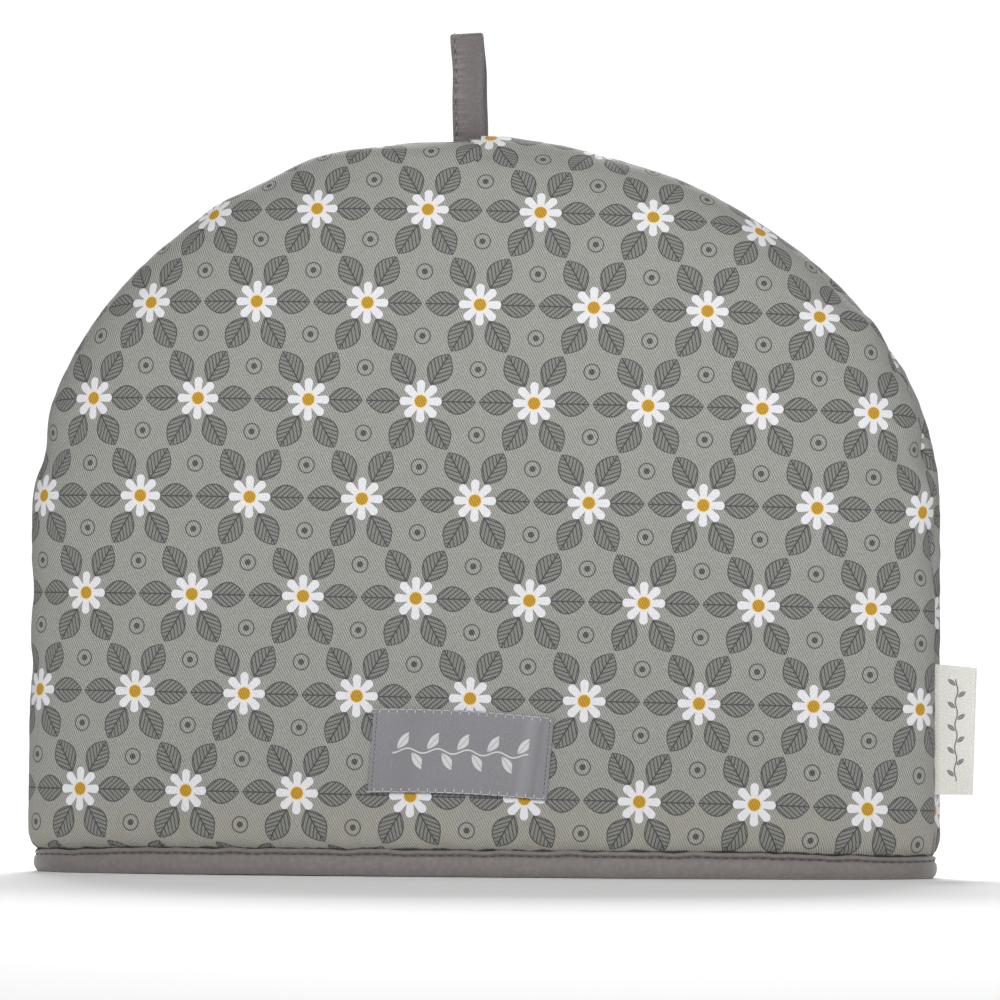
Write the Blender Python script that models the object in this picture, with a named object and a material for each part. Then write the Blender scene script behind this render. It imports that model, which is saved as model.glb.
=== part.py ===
"""Padded tea cosy that stands on its bound hem, with a hanging loop, a sewn patch and a side tag.

Two padded cloth panels are seamed round a half-elliptical dome and left open at the hem, where one
binding strip folds over both walls. Frame: +X to the right of the front panel, +Y to the back, +Z up.
Metres. The origin lies on the floor under the middle of the whole.
"""

import math

import bmesh
import bpy
from mathutils import Vector

MM = 0.001

# Outline of both panels: straight sides under half an ellipse.
HALF_WIDTH = 170 * MM
SIDE_HEIGHT = 136 * MM
DOME_RISE = 140.5 * MM
DOME_LEAN = 0.013

# Crown of one panel, measured from the seam plane.
CROWN = 32 * MM
CROWN_ALONG = 3.0
CROWN_ACROSS = 2.2
MOUTH_FLARE = 3 * MM
FLARE_HEIGHT = 100 * MM

# Sunk seam: each padded edge is a round nose that bulges past the stitches.
NOSE_RADIUS = 9 * MM
NOSE_OFFSET = 6 * MM
SEAM_GAP = 0.15 * MM
PANEL_SKEW = 1 * MM

# Padded wall.
WALL = 8 * MM
SEAM_WALL = 8.5 * MM
HEM_WALL = 5 * MM
HEM_PINCH = 3.6 * MM
PINCH_START = 11.3 * MM
PINCH_HEIGHT = 8 * MM
CLEARANCE = 0.3 * MM

# Binding: a strip folded over the hem of both walls.
BINDING_HEIGHT = 10.8 * MM
BINDING_CLOTH = 1.2 * MM
BINDING_SLACK = 0.35 * MM
BINDING_BULGE = 0.7 * MM
BINDING_FOOT = 4.4 * MM
BINDING_WAVE = 0.5 * MM

# Hanging loop: a folded tape whose ends are caught in the top seam.
LOOP_X = -5.8 * MM
LOOP_WIDTH = 12 * MM
LOOP_CLOTH = 1.5 * MM
LOOP_TOP = 316.5 * MM
LOOP_ROOT_DEPTH = 6.5 * MM
LOOP_ROOT_GAP = 0.4 * MM
LOOP_BELLY = 7.6 * MM
LOOP_FOLD = 2.2 * MM
LOOP_LEAN = -1.6 * MM
LOOP_SPREAD = 1 * MM

# Patch label sewn on the front panel.
PATCH_X = -4 * MM
PATCH_Z = 47 * MM
PATCH_WIDTH = 67 * MM
PATCH_HEIGHT = 30 * MM
PATCH_TILT = math.radians(-1.7)
PATCH_CLOTH = 1 * MM
PATCH_LIFT = 0.42 * MM

# Side tag: a folded tape caught in the right seam.
TAG_Z = 55.5 * MM
TAG_LENGTH = 48 * MM
TAG_REACH = 14.5 * MM
TAG_ROOT_DEPTH = 5 * MM
TAG_CLOTH = 1 * MM
TAG_FOLD_GAP = 0.4 * MM
TAG_TURN = math.radians(-3)

# Sampling of a panel: columns from seam to seam in degrees of turn, rows from hem to top.
CROWN_ANGLES = (0, 8, 16, 24, 32, 40, 48, 56, 64, 71, 77, 82, 86, 90)
NOSE_STEPS = 3
SIDE_ROWS = (1.9, 6, 11.3, 11.9, 13, 15, 19.3, 26, 35, 46, 57, 69, 81, 95, 109, 122.5, 136)
DOME_ROWS = (5, 10, 15, 20, 25, 30, 35, 40, 45, 50, 55, 60, 65, 70, 75, 80, 85, 87.5, 90)

# Dents in the padded edge: panel (-1 front, 1 back), side (-1 left, 1 right), distance up the seam
# from the hem, depth and half length, in millimetres. A negative depth is a bulge.
SEAM_DENTS = (
    # panel, side, along, depth, half_length
    (-1, -1, 161, 2.8, 11),
    (-1, -1, 106, 1.0, 9),
    (-1, -1, 77, 1.0, 8),
    (-1, 1, 159, 2.2, 9),
    (-1, 1, 143, -0.8, 7),
    (-1, 1, 120, 1.6, 9),
    (-1, 1, 236, 1.5, 10),
    (-1, 1, 330, 1.2, 14),
    (-1, -1, 283, -1.2, 10),
    (-1, -1, 305, 1.0, 9),
    (1, -1, 140, 2.0, 12),
    (1, -1, 250, 1.5, 14),
    (1, 1, 60, 1.0, 14),
    (1, 1, 215, 1.2, 12),
    (-1, 1, 268, 1.3, 45),
    (1, 1, 268, 1.3, 45),
)
DENT_REACH = 14 * MM

# Soft creases: panel, middle, half length, half width, turn and depth, in millimetres and degrees.
# A turn of 0 runs up the panel.
CREASES = (
    # panel, x, z, half_length, half_width, turn, depth
    (-1, 152, 150, 22, 8, 38, 1.6),
    (-1, 158, 116, 16, 7, -30, 1.2),
    (-1, -154, 158, 20, 8, -40, 1.4),
    (-1, -112, 22, 14, 8, 6, 0.8),
    (-1, -38, 20, 12, 9, -8, 0.7),
    (-1, 62, 22, 14, 9, 10, 0.8),
    (-1, 118, 24, 16, 9, -6, 0.9),
    (-1, 22, 250, 14, 8, 60, 1.2),
    (1, -120, 60, 30, 12, 20, 1.4),
    (1, 70, 110, 34, 14, -35, 1.5),
    (1, 20, 24, 14, 10, 0, 0.9),
)


def smooth(t):
    """Eased step from 0 to 1."""
    t = min(1.0, max(0.0, t))
    return t * t * (3 - 2 * t)


def crown(fullness):
    """Share of the full crown, where fullness is 0 at the seam and 1 in the middle of the panel."""
    along = math.sqrt(max(0.0, 1 - fullness * fullness))
    return max(0.0, 1 - along**CROWN_ALONG) ** (1 / CROWN_ACROSS)


def pinch(z):
    """1 where the binding squeezes the wall, 0 where the wall has its full thickness."""
    away = 1 - min(1.0, max(0.0, (z - PINCH_START) / PINCH_HEIGHT))
    return 1 - math.sqrt(1 - away * away)


def leaned(x, height):
    """Height on the dome, whose top leans a little to one side."""
    return height - x * DOME_LEAN * smooth((height - SIDE_HEIGHT) / DOME_RISE)


def seam_distance(z, latitude):
    """Length of seam from the hem up to a row."""
    mean_radius = (HALF_WIDTH + DOME_RISE) / 2
    return z if latitude == 0 else SIDE_HEIGHT + mean_radius * latitude


def dent(panel, side, along, depth):
    """How far the padded edge is pushed in at a place along the seam, at a depth inside the outline."""
    pushed = 0.0
    for which, where, middle, deep, half_length in SEAM_DENTS:
        if which == panel and where == side:
            away = (along - middle * MM) / (half_length * MM)
            pushed += deep * MM * math.exp(-away * away)
    return pushed * math.exp(-((depth / DENT_REACH) ** 2))


def crease(panel, x, z):
    """Depth of the soft creases at a place on a panel."""
    sunk = 0.0
    for which, middle_x, middle_z, half_length, half_width, turn, depth in CREASES:
        if which != panel:
            continue
        dx, dz = x - middle_x * MM, z - middle_z * MM
        c, s = math.cos(math.radians(turn)), math.sin(math.radians(turn))
        across = (dx * c + dz * s) / (half_width * MM)
        along = (dz * c - dx * s) / (half_length * MM)
        sunk += depth * MM * math.exp(-across * across - along * along)
    return sunk


def seam_opening(side, z, latitude):
    """Half the gap between the panels at the seam: wider where a tape is caught between them."""
    if latitude == 0:
        half_tape = TAG_CLOTH + TAG_FOLD_GAP / 2 + CLEARANCE if side > 0 else SEAM_GAP
        away = abs(z - TAG_Z) - TAG_LENGTH / 2 - 6 * MM
    else:
        half_tape = LOOP_CLOTH + LOOP_ROOT_GAP / 2 + CLEARANCE
        away = abs(side * HALF_WIDTH * math.cos(latitude) - LOOP_X) - LOOP_WIDTH / 2 - 7 * MM
    return SEAM_GAP + (half_tape - SEAM_GAP) * (1 - smooth(away / (8 * MM)))


def hem_point(turn, out, z):
    """A point on the hem's oval: turn 0 is the front middle, out is the distance from mid-wall."""
    half_width = HALF_WIDTH - HEM_PINCH - HEM_WALL / 2
    half_depth = CROWN + NOSE_OFFSET + MOUTH_FLARE - HEM_PINCH - HEM_WALL / 2

    def middle(angle):
        y = half_depth * crown(abs(math.cos(angle)))
        return Vector((half_width * math.sin(angle), -math.copysign(y, math.cos(angle)), 0))

    tangent = middle(turn + 0.02) - middle(turn - 0.02)
    outward = Vector((tangent.y, -tangent.x, 0)).normalized()
    flat = middle(turn) + outward * out
    return Vector((flat.x, flat.y, z))


def held_point(panel, column, out, z):
    """A point of a panel's wall where the binding holds it."""
    turn = max(-1.0, min(1.0, column)) * math.pi / 2
    held = hem_point(turn, out, z)
    return Vector((held.x, panel * max(SEAM_GAP, -held.y), z))


def outer_point(panel, column, z, latitude):
    """A point of the printed face. column runs from -1 to 1 over the crown and past that into the seam."""
    side = -1 if column < 0 else 1
    turn = min(1.0, abs(column)) * math.pi / 2
    x = side * HALF_WIDTH * math.sin(turn) * math.cos(latitude)
    height = z + DOME_RISE * math.sin(latitude)
    flare = MOUTH_FLARE * (1 - smooth(z / FLARE_HEIGHT))
    y = NOSE_OFFSET + (CROWN + flare) * crown(math.cos(turn) * math.cos(latitude))
    inside = 0.0
    if abs(column) > 1:
        into = min(1.0, abs(column) - 1)
        y = NOSE_OFFSET + (seam_opening(side, z, latitude) - NOSE_OFFSET) * into
        inside = NOSE_RADIUS - math.sqrt(NOSE_RADIUS**2 - (NOSE_OFFSET - y) ** 2)
    depth = HALF_WIDTH * (1 - math.sqrt(1 - (math.cos(turn) * math.cos(latitude)) ** 2))
    inside += dent(panel, side, seam_distance(z, latitude), depth)
    outward = Vector((side * DOME_RISE * math.cos(latitude), HALF_WIDTH * math.sin(latitude))).normalized()
    x -= outward.x * inside
    height -= outward.y * inside
    y -= crease(panel, x, height) * min(1.0, y / CROWN)
    free = Vector((x + panel * PANEL_SKEW, panel * max(y, SEAM_GAP), leaned(x, height)))
    return free.lerp(held_point(panel, column, HEM_WALL / 2, height), pinch(z))


def inner_point(panel, column, z, latitude):
    """A point of the face inside the cosy, over the same columns and rows as the printed one."""
    side = -1 if column < 0 else 1
    turn = abs(column) / 2 * math.pi / 2
    x = side * (HALF_WIDTH - SEAM_WALL) * math.sin(turn) * math.cos(latitude)
    height = z + (DOME_RISE - SEAM_WALL) * math.sin(latitude)
    opening = seam_opening(side, z, latitude)
    flare = MOUTH_FLARE * (1 - smooth(z / FLARE_HEIGHT))
    full = CROWN + NOSE_OFFSET - WALL + flare - opening
    share = crown(math.cos(turn) * math.cos(latitude))
    y = opening + (full - crease(panel, x, height)) * share
    free = Vector((x + panel * PANEL_SKEW, panel * y, leaned(x, height)))
    return free.lerp(held_point(panel, column, -HEM_WALL / 2, height), pinch(z))


def printed_face(panel, x, z):
    """Distance of the printed face from the seam plane, below the dome."""
    column = math.asin(max(-1.0, min(1.0, x / HALF_WIDTH))) / (math.pi / 2)
    return abs(outer_point(panel, column, z, 0).y)


def material(name, colour, roughness):
    made = bpy.data.materials.new(name)
    made.use_nodes = True
    shader = made.node_tree.nodes["Principled BSDF"]
    shader.inputs["Base Color"].default_value = (*colour, 1)
    shader.inputs["Roughness"].default_value = roughness
    shader.inputs["Metallic"].default_value = 0
    return made


def finish(bm, name, surface, whole):
    """Turns a bmesh into a smooth-shaded object under the empty that carries the whole."""
    bmesh.ops.remove_doubles(bm, verts=bm.verts, dist=0.02 * MM)
    bmesh.ops.recalc_face_normals(bm, faces=bm.faces)
    mesh = bpy.data.meshes.new(name)
    bm.to_mesh(mesh)
    bm.free()
    mesh.shade_smooth()
    mesh.set_sharp_from_angle(angle=math.radians(50))
    mesh.materials.append(surface)
    made = bpy.data.objects.new(name, mesh)
    made.parent = whole
    bpy.context.scene.collection.objects.link(made)
    return made


def grid(bm, columns, rows, place):
    """A grid of quads whose corner in a column and a row lies where place says."""
    corners = [[bm.verts.new(place(c, r)) for c in range(columns)] for r in range(rows)]
    for low, high in zip(corners, corners[1:]):
        for c in range(columns - 1):
            bm.faces.new((low[c], low[c + 1], high[c + 1], high[c]))
    return corners


def close_rims(bm, one, other, top):
    """Walls between the rims of two equal grids, left, right and below, and above where top is set."""
    left = [row[0] for row in one], [row[0] for row in other]
    right = [row[-1] for row in one], [row[-1] for row in other]
    rims = [left, right, (one[0], other[0])]
    if top:
        rims.append((one[-1], other[-1]))
    for near, far in rims:
        for i in range(len(near) - 1):
            bm.faces.new((near[i], near[i + 1], far[i + 1], far[i]))


def make_panel(name, panel, surface, whole):
    """One padded panel: printed face, inner face, and the walls that close them at seam and hem."""
    half = [a / 90 for a in CROWN_ANGLES[1:]] + [1 + (n + 1) / NOSE_STEPS for n in range(NOSE_STEPS)]
    columns = [-c for c in reversed(half)] + [0.0] + half
    rows = [(z * MM, 0.0) for z in SIDE_ROWS] + [(SIDE_HEIGHT, math.radians(a)) for a in DOME_ROWS]

    bm = bmesh.new()
    printed = grid(bm, len(columns), len(rows), lambda c, r: outer_point(panel, columns[c], *rows[r]))
    inside = grid(bm, len(columns), len(rows), lambda c, r: inner_point(panel, columns[c], *rows[r]))
    close_rims(bm, printed, inside, top=False)
    return finish(bm, name, surface, whole)


def binding_section():
    """The folded strip's section: distance out from the middle of the wall, and height."""
    lip = HEM_WALL / 2 + BINDING_SLACK
    face = lip + BINDING_CLOTH
    outside = [
        (lip, BINDING_CLOTH + CLEARANCE),
        (lip, BINDING_HEIGHT),
        (face, BINDING_HEIGHT),
        (face + BINDING_BULGE, 0.62 * BINDING_HEIGHT),
        (face + BINDING_BULGE / 2, 0.25 * BINDING_HEIGHT),
        (face - BINDING_BULGE, 0.06 * BINDING_HEIGHT),
        (BINDING_FOOT / 2, 0.0),
    ]
    return outside + [(-out, height) for out, height in reversed(outside)]


def make_binding(surface, whole):
    """The binding strip, folded over the hem and running all round the mouth."""
    section = binding_section()
    half = list(CROWN_ANGLES) + [180 - a for a in reversed(CROWN_ANGLES[:-1])]
    around = half + [180 + a for a in half[1:]]

    def place(column, row):
        turn = math.radians(around[column])
        out, height = section[row % len(section)]
        if height > 0.5 * BINDING_HEIGHT:
            height -= BINDING_WAVE * (1 + math.cos(5 * turn + 0.6)) / 2
        return hem_point(turn, out, height)

    bm = bmesh.new()
    grid(bm, len(around), len(section) + 1, place)
    return finish(bm, "hem_binding", surface, whole)


def extruded(outline, along):
    """A closed outline as a face, pulled along a vector into a solid."""
    bm = bmesh.new()
    face = bm.faces.new([bm.verts.new(point) for point in outline])
    pulled = bmesh.ops.extrude_face_region(bm, geom=[face])["geom"]
    bmesh.ops.translate(bm, vec=along, verts=[v for v in pulled if isinstance(v, bmesh.types.BMVert)])
    return bm


def make_loop(surface, whole):
    """The hanging loop: one tape up the front, over a pressed fold and down the back."""
    seat = SIDE_HEIGHT + DOME_RISE
    shoulder = LOOP_TOP - LOOP_FOLD
    steps = 9

    def leg(out):
        places = [(LOOP_ROOT_GAP / 2 + out, seat - LOOP_ROOT_DEPTH)]
        for step in range(steps + 1):
            share = step / steps
            belly = math.sin(math.pi * (0.86 * share) ** 0.8) ** 0.9
            half_gap = LOOP_ROOT_GAP / 2 + (LOOP_BELLY - LOOP_ROOT_GAP) / 2 * belly
            places.append((half_gap + out, seat + (shoulder - seat) * share))
        wide = places[-1][0]
        tall = LOOP_FOLD - LOOP_CLOTH + out
        for angle in (25, 50, 70, 90):
            turn = math.radians(angle)
            places.append((wide * math.cos(turn), shoulder + tall * math.sin(turn)))
        return places

    face, back = leg(LOOP_CLOTH), leg(0)
    outline = [(-y, z) for y, z in face] + [(y, z) for y, z in reversed(face[:-1])]
    outline += [(y, z) for y, z in back] + [(-y, z) for y, z in reversed(back[:-1])]
    bm = extruded([(LOOP_X - LOOP_WIDTH / 2, y, z) for y, z in outline], (LOOP_WIDTH, 0, 0))
    for vert in bm.verts:
        rise = smooth((vert.co.z - seat) / (LOOP_TOP - seat))
        vert.co.x += LOOP_LEAN * rise + LOOP_SPREAD * (1 - rise) * (vert.co.y > 0)
    return finish(bm, "hanging_loop", surface, whole)


def make_patch(surface, whole):
    """The patch label, lying on the crown of the front panel."""
    columns, rows = 13, 6

    def place(column, row, lift):
        across = PATCH_WIDTH * (column / (columns - 1) - 0.5)
        up = PATCH_HEIGHT * (row / (rows - 1) - 0.5)
        x = PATCH_X + across * math.cos(PATCH_TILT) - up * math.sin(PATCH_TILT)
        z = PATCH_Z + across * math.sin(PATCH_TILT) + up * math.cos(PATCH_TILT)
        return Vector((x, -(printed_face(-1, x, z) + lift), z))

    bm = bmesh.new()
    under = grid(bm, columns, rows, lambda c, r: place(c, r, PATCH_LIFT))
    face = grid(bm, columns, rows, lambda c, r: place(c, r, PATCH_LIFT + PATCH_CLOTH))
    close_rims(bm, under, face, top=True)
    return finish(bm, "patch_label", surface, whole)


def make_tag(surface, whole):
    """The side tag: a tape folded along its outer edge, both ends caught in the right seam."""
    root = HALF_WIDTH - TAG_ROOT_DEPTH
    tip = HALF_WIDTH + TAG_REACH

    def leg(out):
        places = [(x, out) for x in (root, HALF_WIDTH + 2 * MM, HALF_WIDTH + 7 * MM)]
        middle = tip - TAG_FOLD_GAP / 2 - TAG_CLOTH
        for angle in (90, 60, 30, 0):
            turn = math.radians(angle)
            places.append((middle + out * math.cos(turn), out * math.sin(turn)))
        return places

    face, back = leg(TAG_FOLD_GAP / 2 + TAG_CLOTH), leg(TAG_FOLD_GAP / 2)
    outline = [(x, -y) for x, y in face] + list(reversed(face[:-1]))
    outline += back + [(x, -y) for x, y in reversed(back[:-1])]
    bm = extruded([(x, y, TAG_Z - TAG_LENGTH / 2) for x, y in outline], (0, 0, TAG_LENGTH))
    for vert in bm.verts:
        past = max(0.0, vert.co.x - HALF_WIDTH - 2 * MM)
        vert.co.y += past * math.tan(TAG_TURN)
    return finish(bm, "side_tag", surface, whole)


def centre(whole):
    """Moves the whole so that the middle of its box, seen from above, is at the origin."""
    bpy.context.view_layer.update()
    corners = [made.matrix_world @ Vector(c) for made in whole.children for c in made.bound_box]
    for axis in (0, 1):
        places = [corner[axis] for corner in corners]
        whole.location[axis] = -(min(places) + max(places)) / 2


def main():
    for old in list(bpy.data.objects):
        bpy.data.objects.remove(old)
    whole = bpy.data.objects.new("tea_cosy", None)
    bpy.context.scene.collection.objects.link(whole)

    twill = material("printed_twill", (0.25, 0.25, 0.23), 0.9)
    tape = material("grey_tape", (0.16, 0.145, 0.14), 0.75)
    satin = material("patch_satin", (0.25, 0.25, 0.27), 0.5)
    cotton = material("tag_cotton", (0.72, 0.7, 0.65), 0.9)

    make_panel("front_panel", -1, twill, whole)
    make_panel("back_panel", 1, twill, whole)
    make_binding(tape, whole)
    make_loop(tape, whole)
    make_patch(satin, whole)
    make_tag(cotton, whole)
    centre(whole)


main()
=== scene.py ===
"""Looks of a padded tea cosy: printed panels, bound hem, hanging loop, patch, side tag and stitches."""

import math

import bpy
import numpy as np
from bpy.props import FloatProperty, FloatVectorProperty, PointerProperty
from mathutils import Matrix, Vector


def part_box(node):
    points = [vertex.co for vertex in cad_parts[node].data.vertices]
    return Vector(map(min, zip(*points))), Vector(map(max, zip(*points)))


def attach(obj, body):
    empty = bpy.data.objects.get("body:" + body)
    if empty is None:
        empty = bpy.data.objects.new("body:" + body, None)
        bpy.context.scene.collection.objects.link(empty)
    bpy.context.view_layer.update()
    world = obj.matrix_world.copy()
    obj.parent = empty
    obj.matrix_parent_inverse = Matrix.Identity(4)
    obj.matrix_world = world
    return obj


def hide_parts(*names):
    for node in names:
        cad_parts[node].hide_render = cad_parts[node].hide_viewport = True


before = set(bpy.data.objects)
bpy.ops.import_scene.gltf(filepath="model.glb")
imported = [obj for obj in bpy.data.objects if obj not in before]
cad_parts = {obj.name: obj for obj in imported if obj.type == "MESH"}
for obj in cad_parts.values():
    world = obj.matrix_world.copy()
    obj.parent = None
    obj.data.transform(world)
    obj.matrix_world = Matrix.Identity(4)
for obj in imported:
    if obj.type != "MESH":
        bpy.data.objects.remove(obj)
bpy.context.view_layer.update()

bl_info = {
    "name": "Tea cosy",
    "version": (1, 0, 0),
    "blender": (4, 5, 0),
    "location": "View3D > Sidebar > Cosy",
    "description": "Padded tea cosy with a bound hem, a hanging loop, a patch and a side tag",
    "category": "Object",
}

MM = 0.001

# Sampling of a panel: columns in half a row of the crown, columns round the nose, rows up the side
# and rows over the dome.
HALF_COLUMNS = 66
NOSE_COLUMNS = 6
SIDE_ROWS = 84
DOME_ROWS = 104

# Dents in the padded edge: panel (-1 front, 1 back), side (-1 left, 1 right), distance up the seam
# from the hem, depth and half length, in millimetres. A negative depth is a bulge.
SEAM_DENTS = (
    # panel, side, along, depth, half_length
    (-1, -1, 161, 2.8, 11),
    (-1, -1, 106, 1.0, 9),
    (-1, -1, 77, 1.0, 8),
    (-1, 1, 160, 3.0, 9),
    (-1, 1, 146, -1.2, 6),
    (-1, 1, 120, 1.6, 9),
    (-1, 1, 236, 1.5, 10),
    (-1, 1, 330, 1.2, 14),
    (-1, -1, 283, -1.2, 10),
    (-1, -1, 322, -2.3, 17),
    (-1, -1, 364, 1.3, 7),
    (1, -1, 364, 1.3, 7),
    (-1, 1, 371, -1.0, 9),
    (-1, 1, 217, -1.3, 9),
    (-1, 1, 197, 0.8, 8),
    (1, -1, 140, 2.0, 12),
    (1, -1, 250, 1.5, 14),
    (1, 1, 60, 1.0, 14),
    (1, 1, 215, 1.2, 12),
    (-1, 1, 268, 1.3, 45),
    (1, 1, 268, 1.3, 45),
)

# How far a dent reaches into the panel.
DENT_REACH = 14

# Half the gap between the panels along their seam, and how much wider it is at the tag and the loop.
SEAM_GAP = 0.03
TAG_OPENING = 1.47
LOOP_OPENING = 1.85

# Soft creases: panel, middle, half length, half width, turn and depth, in millimetres and degrees.
CREASES = (
    # panel, x, z, half_length, half_width, turn, depth
    (-1, 152, 150, 22, 8, 38, 1.6),
    (-1, 158, 116, 16, 7, -30, 1.2),
    (-1, 158, 153, 8, 3, 40, 2.4),
    (-1, -154, 158, 20, 8, -40, 1.4),
    (-1, -112, 22, 14, 8, 6, 0.8),
    (-1, -38, 20, 12, 9, -8, 0.7),
    (-1, 62, 22, 14, 9, 10, 0.8),
    (-1, 118, 24, 16, 9, -6, 0.9),
    (-1, 22, 250, 14, 8, 60, 1.2),
    (1, -120, 60, 30, 12, 20, 1.4),
    (1, 70, 110, 34, 14, -35, 1.5),
    (1, 20, 24, 14, 10, 0, 0.9),
)

# Ripples: wavelength in millimetres, direction in degrees, phase and share of the height.
SOFT_WAVES = (
    # wavelength, direction, phase, share
    (118, 20, 0.4, 1.0),
    (96, 75, 2.1, 0.9),
    (71, 130, 4.0, 0.7),
    (58, 48, 5.3, 0.5),
    (43, 100, 1.2, 0.4),
    (37, 160, 3.3, 0.3),
)

# Puckers along a seam: wavelength, phase and share of the height.
PUCKER_WAVES = ((6.9, 0.3, 0.7), (10.7, 2.2, 1.0), (15.3, 4.4, 0.9), (27.0, 1.1, 0.6))

# How the print lies on a panel: its repeat across in millimetres, its tilt in degrees, and where it
# starts, in repeats and rows. On the back it runs the other way and is shifted.
PRINT_PITCH = 42
PRINT_ROW = PRINT_PITCH * math.sqrt(3) / 2
PRINT_TILT = 1.0
PRINT_START = (0.03, -0.8)
BACK_SHIFT = (0.5, 1.0)

# Where the soft hem lifts off the floor: side (-1 front, 1 back), place across, half length and height.
HEM_LIFTS = (
    # side, x, half_length, height
    (-1, -72, 56, 0.35),
    (-1, 30, 52, 0.2),
    (1, 45, 60, 0.4),
    (1, -80, 40, 0.4),
)

# The wall in the binding: its lower edge, how far it stays inside the side seams, where the squeeze of
# the binding ends, and over what height the wall then fills out.
HEM_EDGE = 1.9
HEM_INSET = 2.3
PINCH_TOP = 9.9
PINCH_FADE = 8

# The ends of the hem hang lower: the middle between them, where they begin on either side of it, over
# what length they drop, and how far.
DROOP_MIDDLE = -8
DROOP_START = 108
DROOP_LENGTH = 56
DROOP = 1.3

# How far the inner face stays inside the outline of the panel.
INNER_INSET = 8.5

# The binding: steps round the hem, the topstitch's pitch and how far it lies under the upper edge.
BINDING_STEPS = 560
TOPSTITCH_PITCH = 3.4
TOPSTITCH_DROP = 1.85

# How far the loop's stitches lie from the edge of its tape.
LOOP_SEAM = 1.5

# Where the middle of the patch is, across and up, and its tilt in degrees.
PATCH_MIDDLE = (-4.35, 45.85)
PATCH_TILT = -1.7


def size(name, description, default):
    return FloatProperty(name=name, description=description, default=default, unit="LENGTH")


def colour(name, description, default):
    return FloatVectorProperty(
        name=name, description=description, subtype="COLOR", default=default, min=0, max=1
    )


class CosySizes(bpy.types.PropertyGroup):
    """Sizes of the cosy."""

    half_width: size("Half width", "From the middle to a side seam", 0.170)
    side_height: size("Side height", "Straight part of the sides", 0.136)
    dome_rise: size("Dome rise", "Height of the half ellipse above it", 0.1405)
    dome_lean: FloatProperty(
        name="Dome lean", description="Fall of the dome's top per length across", default=0.013
    )
    crown: size("Crown", "Bulge of one panel over its edge", 0.032)
    flare: size("Mouth flare", "Extra bulge at the mouth", 0.003)
    wall: size("Wall", "Thickness of a padded wall", 0.008)
    nose_offset: size("Nose offset", "Padded edge to seam plane", 0.006)
    nose_radius: size("Nose radius", "Roundness of the padded edge", 0.009)
    skew: size("Panel skew", "How far each panel sits off the middle sideways", 0.001)
    hem_pinch: size("Hem pinch", "How far the binding draws the wall in", 0.0036)
    hem_wall: size("Hem wall", "Wall thickness in the binding", 0.005)
    binding_height: size("Binding height", "Height of the folded strip", 0.0096)
    pucker: size("Pucker", "Height of the puckers at the seams", 0.00042)
    softness: size("Softness", "Height of the uneven padding", 0.0006)
    loop_x: size("Loop place", "Middle of the hanging loop", -0.0064)
    loop_width: size("Loop width", "Width of the loop's tape", 0.012)
    loop_top: size("Loop top", "Height of the loop's fold", 0.3179)
    patch_width: size("Patch width", "Width of the patch", 0.0662)
    patch_height: size("Patch height", "Height of the patch", 0.0305)
    tag_z: size("Tag place", "Height of the tag's middle", 0.0555)
    tag_length: size("Tag length", "Length of the tag up the seam", 0.048)
    tag_reach: size("Tag reach", "How far the tag stands out", 0.0145)

class CosyColours(bpy.types.PropertyGroup):
    """Colours of the cosy, as linear values."""

    ground: colour("Ground", "Sage grey ground of the print", (0.240, 0.240, 0.222))
    line: colour("Line", "Fine lines of the leaves", (0.034, 0.034, 0.038))
    petal: colour("Petal", "White of the daisies", (0.615, 0.615, 0.64))
    eye: colour("Eye", "Ochre eye of the daisies", (0.39, 0.222, 0.020))
    tape: colour("Tape", "Binding and loop", (0.155, 0.138, 0.132))
    patch: colour("Patch", "Satin of the patch", (0.198, 0.197, 0.211))
    tag: colour("Tag", "Cream cotton tape", (0.58, 0.572, 0.53))
    inside: colour("Inside", "Inner face of the walls", (0.33, 0.33, 0.31))
    white_thread: colour("White thread", "Stitches of the patch", (0.58, 0.58, 0.58))
    # Also used for the dark dashes of painted shade in the needle holes of the loop.
    dark_thread: colour("Dark thread", "Stitches of the tape", (0.062, 0.052, 0.049))


# ---------------------------------------------------------------------------------------------------
# Shape of the panels, in millimetres, about the middle of the seam plane.


def smooth(t):
    """0 below 0 and 1 above 1, eased between them."""
    t = np.clip(t, 0, 1)
    return t * t * (3 - 2 * t)


def bell(distance, width):
    """1 at no distance, falling off on both sides to about a third at the width."""
    return np.exp(-((distance / width) ** 2))


def unit(vectors):
    """The vectors at length 1."""
    return vectors / np.linalg.norm(vectors, axis=-1, keepdims=True)


def run_along(path):
    """The length run so far at each point of a path."""
    return np.concatenate([[0], np.cumsum(np.linalg.norm(np.diff(path, axis=0), axis=1))])


def at_run(wanted, run, values):
    """Rows of values at the wanted lengths run so far."""
    return np.stack([np.interp(wanted, run, column) for column in values.T], -1)


def crown_height(out):
    """Share of the full crown, where out is 0 in the middle of the panel and 1 at its edge."""
    return np.clip(1 - out**3, 0, 1) ** (1 / 2.2)


def crown_share(fullness):
    """Share of the full crown, where fullness is 1 in the middle of the panel and 0 at its edge."""
    return crown_height(np.sqrt(np.clip(1 - fullness * fullness, 0, 1)))


def pinch(z):
    """1 where the binding squeezes the wall, 0 where the wall has its full thickness."""
    away = 1 - np.clip((z - PINCH_TOP) / PINCH_FADE, 0, 1)
    return 1 - np.sqrt(1 - away * away)


def sizes_mm():
    """The size properties as a dict in millimetres, the lean as it is."""
    held = bpy.context.scene.cosy_sizes
    found = {name: getattr(held, name) * 1000 for name in CosySizes.__annotations__}
    found["dome_lean"] = held.dome_lean
    return found


def middle():
    """The middle of the seam plane in the row frame, in metres, from the binding's solid."""
    low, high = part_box("hem_binding")
    return Vector(((low[0] + high[0]) / 2, (low[1] + high[1]) / 2, 0))


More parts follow.
